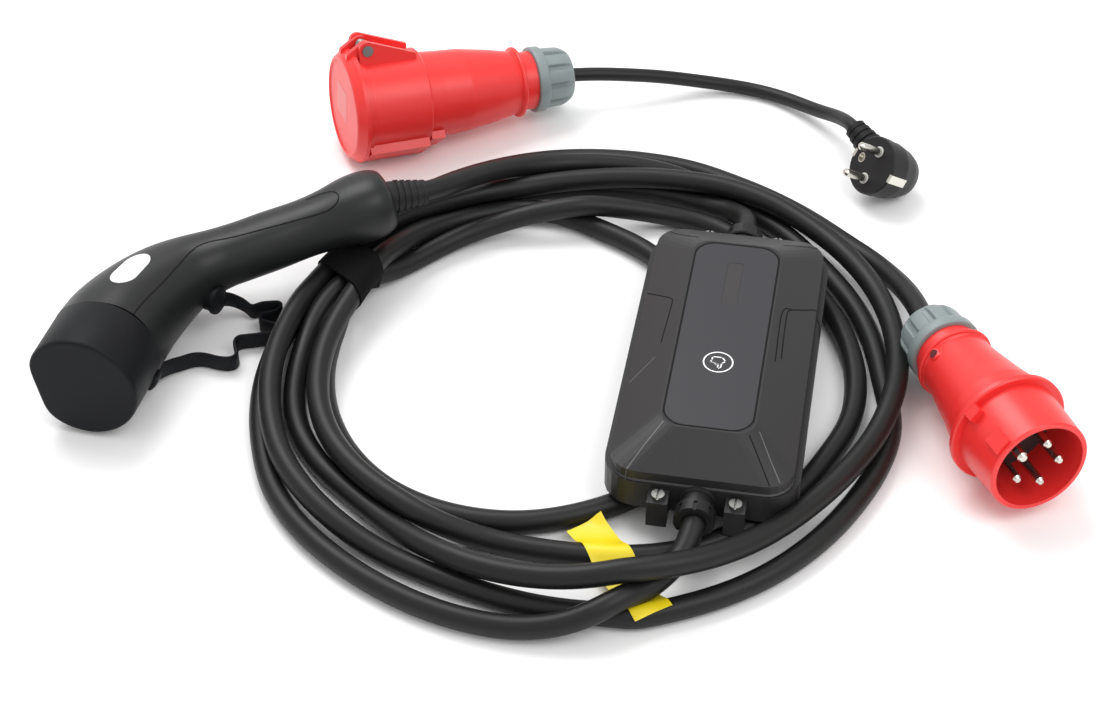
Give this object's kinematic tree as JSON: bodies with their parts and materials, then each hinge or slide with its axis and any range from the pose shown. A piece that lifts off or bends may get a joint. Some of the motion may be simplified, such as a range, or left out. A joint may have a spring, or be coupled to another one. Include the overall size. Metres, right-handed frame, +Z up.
{
  "type": "electric car charger",
  "caption": "Portable charger for an electric car: control box, car connector with dust cap, coiled cables, a red five-pin plug and a red coupler that adapts it to a wall plug.",
  "frame": {"origin": "on the floor, under the middle of the box, the car connector and the coupler taken together", "axes": "+Z up from the floor, +Y away from the user, +X to the right; the connector lies at -X and the red plug at +X"},
  "size_m": [0.5743, 0.4904, 0.0832],
  "materials": {
    "box_shell": "fine moulded texture, satin",
    "pale_seal": "soft, matt",
    "panel_glass": "smooth, satin film",
    "lens": "smoked window, satin",
    "board": "lacquered board",
    "screw_steel": "plated, bright",
    "black_plastic": "moulded, satin",
    "gun_shell": "fine texture, satin",
    "cap_rubber": "soft, matt",
    "black_rubber": "matt",
    "contact_brass": "silvered brass, satin",
    "red_plastic": "moulded, half gloss",
    "dark_insert": "moulded, satin",
    "plated_pin": "nickel plated, bright",
    "grey_nut": "moulded, satin",
    "cable_jacket": "smooth jacket, satin",
    "webbing": "woven hook and loop strap",
    "yellow_label": "printed film left bare, satin"
  },
  "bodies": {
    "base": {"box_base": "box_shell", "box_cover": "box_shell", "box_seal": "pale_seal", "front_panel": "panel_glass", "status_lens": "lens", "circuit_board": "board", "board_screws": "screw_steel", "relays": "black_plastic", "terminal_blocks": "board", "current_sensor": "black_plastic", "box_screws": "screw_steel", "tab_screws": "screw_steel", "box_glands": "black_plastic", "box_gland_nuts": "black_plastic", "cable_clamps": "screw_steel", "gun_cover": "gun_shell", "gun_grip": "gun_shell", "gun_badge": "black_plastic", "gun_nose": "black_plastic", "gun_insert": "black_plastic", "gun_contacts": "contact_brass", "gun_screws": "screw_steel", "gun_boot": "black_rubber", "cap_tether": "cap_rubber", "plug_shroud": "red_plastic", "plug_body": "red_plastic", "plug_carrier": "dark_insert", "plug_pins": "plated_pin", "plug_earth_pin": "plated_pin", "plug_screw": "screw_steel", "plug_seal": "black_rubber", "plug_nut": "grey_nut", "coupler_sleeve": "red_plastic", "coupler_body": "red_plastic", "coupler_insert": "dark_insert", "coupler_sockets": "contact_brass", "coupler_screw": "red_plastic", "coupler_seal": "black_rubber", "coupler_nut": "grey_nut", "hinge_pin": "screw_steel", "lid_spring": "screw_steel", "wall_plug_body": "black_plastic", "wall_plug_face": "black_plastic", "wall_plug_pins": "plated_pin", "wall_plug_earths": "plated_pin", "wall_plug_boot": "black_rubber", "cable_coil": "cable_jacket", "inner_turn": "cable_jacket", "gun_lead": "cable_jacket", "box_lead": "cable_jacket", "supply_start": "cable_jacket", "supply_lead": "cable_jacket", "adapter_lead": "cable_jacket", "coil_strap": "webbing", "cable_label": "yellow_label"},
    "lid": {"coupler_lid": "red_plastic", "lid_seal": "black_rubber"},
    "cap": {"dust_cap": "cap_rubber"}
  },
  "joints": [
    {"name": "lid_hinge", "type": "hinge", "parent": "base", "child": "lid", "pos_m": [-0.0571, 0.1575, 0.07473], "axis": [-0.3672, 0.8937, -0.2578], "range_deg": [0, 110], "stiffness_Nm_per_rad": 0.03, "springref_deg": -34.38},
    {"name": "cap_slide", "type": "slide", "parent": "base", "child": "cap", "axis": [-0.2076, -0.9765, 0.0576], "range_m": [0, 0.045]}
  ]
}
